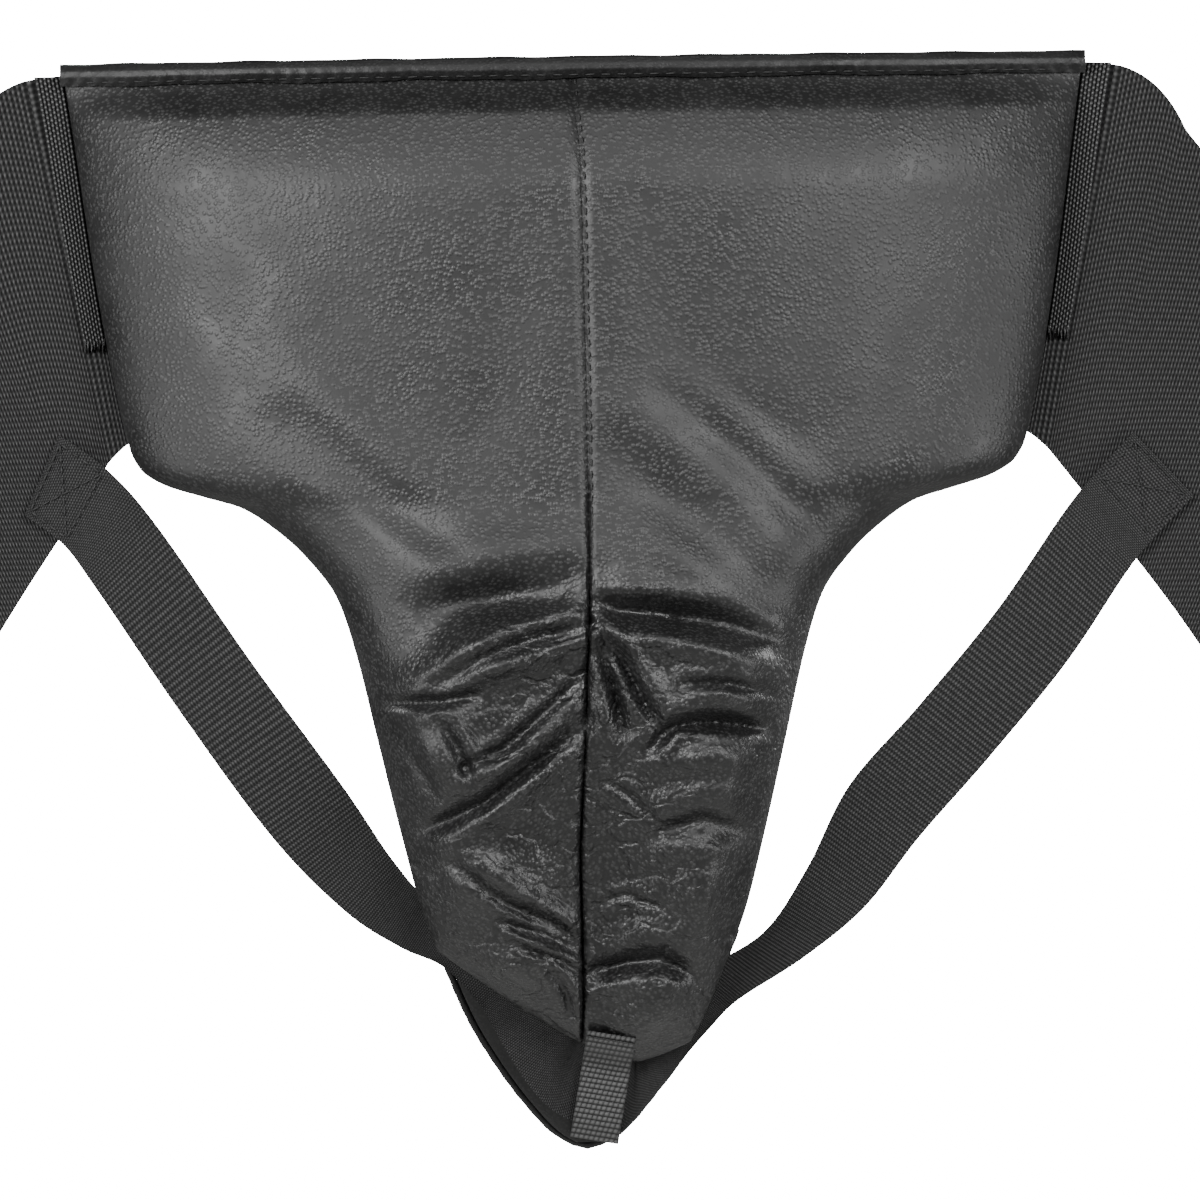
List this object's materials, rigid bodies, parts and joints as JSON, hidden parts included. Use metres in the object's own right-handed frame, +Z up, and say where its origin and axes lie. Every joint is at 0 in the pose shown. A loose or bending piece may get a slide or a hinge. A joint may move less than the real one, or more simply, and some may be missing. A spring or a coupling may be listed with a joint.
{
  "type": "groin protector",
  "caption": "Padded leather abdominal and groin guard with a hard cup inside, elastic waist wings that close with hook and loop, and an elastic leg strap through a keeper at the tip.",
  "frame": {"origin": "middle of the shield's top edge, on the back of the lining where it meets the wearer's waist", "axes": "+Z up the body, +X to the viewer's right when the front is faced, -Y out of the front; the wearer stands on the +Y side"},
  "size_m": [0.6069, 0.0832, 0.3445],
  "materials": {
    "front_cover_left": "pebble grained, semi gloss",
    "front_cover_right": "pebble grained, semi gloss",
    "front_seam_stitches": "twisted thread",
    "top_binding": "pebble grained, semi gloss",
    "binding_stitches": "twisted thread",
    "abdominal_foam": "closed cell foam",
    "firm_foam_board": "dense foam",
    "groin_foam": "closed cell foam",
    "cup_shell": "moulded",
    "cup_rim_cushion": "closed cell foam",
    "back_lining": "woven elastic",
    "piping_left": "pebble grained, semi gloss",
    "piping_right": "pebble grained, semi gloss",
    "crotch_flap": "pebble grained, semi gloss",
    "flap_edging": "pebble grained, semi gloss",
    "strap_keeper": "ribbed webbing",
    "keeper_stitches": "twisted thread",
    "leg_strap_middle": "woven elastic",
    "left_wing": "woven elastic",
    "right_wing": "woven elastic",
    "left_seam_tape": "ribbed webbing",
    "right_seam_tape": "ribbed webbing",
    "left_leg_strap": "woven elastic",
    "right_leg_strap": "woven elastic",
    "left_strap_stitches": "twisted thread",
    "right_strap_stitches": "twisted thread",
    "closure_tab": "pebble grained, semi gloss",
    "hook_patch": "hook or loop pile",
    "closure_stitches": "twisted thread",
    "loop_patch": "hook or loop pile",
    "loop_stitches": "twisted thread",
    "right_end_binding": "pebble grained, semi gloss"
  },
  "bodies": {
    "shield": {"front_cover_left": "front_cover_left", "front_cover_right": "front_cover_right", "front_seam_stitches": "front_seam_stitches", "top_binding": "top_binding", "binding_stitches": "binding_stitches", "abdominal_foam": "abdominal_foam", "firm_foam_board": "firm_foam_board", "groin_foam": "groin_foam", "cup_shell": "cup_shell", "cup_rim_cushion": "cup_rim_cushion", "back_lining": "back_lining", "piping_left": "piping_left", "piping_right": "piping_right", "crotch_flap": "crotch_flap", "flap_edging": "flap_edging", "strap_keeper": "strap_keeper", "keeper_stitches": "keeper_stitches", "leg_strap_middle": "leg_strap_middle"},
    "left_wing_body": {"left_wing": "left_wing", "left_seam_tape": "left_seam_tape", "left_leg_strap": "left_leg_strap", "left_strap_stitches": "left_strap_stitches"},
    "right_wing_body": {"right_wing": "right_wing", "right_seam_tape": "right_seam_tape", "right_leg_strap": "right_leg_strap", "right_strap_stitches": "right_strap_stitches", "loop_patch": "loop_patch", "loop_stitches": "loop_stitches", "right_end_binding": "right_end_binding"},
    "closure": {"closure_tab": "closure_tab", "hook_patch": "hook_patch", "closure_stitches": "closure_stitches"}
  },
  "joints": [
    {"name": "left_wing_fold", "type": "hinge", "parent": "shield", "child": "left_wing_body", "pos_m": [-0.13898, 0.01605, -0.05465], "axis": [-0.1626, 0.046, 0.9856], "range_deg": [-95, 20], "deforming": ["left_leg_strap"]},
    {"name": "right_wing_fold", "type": "hinge", "parent": "shield", "child": "right_wing_body", "pos_m": [0.13898, 0.01605, -0.05465], "axis": [0.1626, 0.046, 0.9856], "range_deg": [-20, 95], "deforming": ["right_leg_strap"]},
    {"name": "closure_tab_fold", "type": "hinge", "parent": "left_wing_body", "child": "closure", "pos_m": [-0.25649, 0.02908, -0.28889], "axis": [-0.9775, 0.12, 0.1736], "range_deg": [-90, 90]}
  ]
}
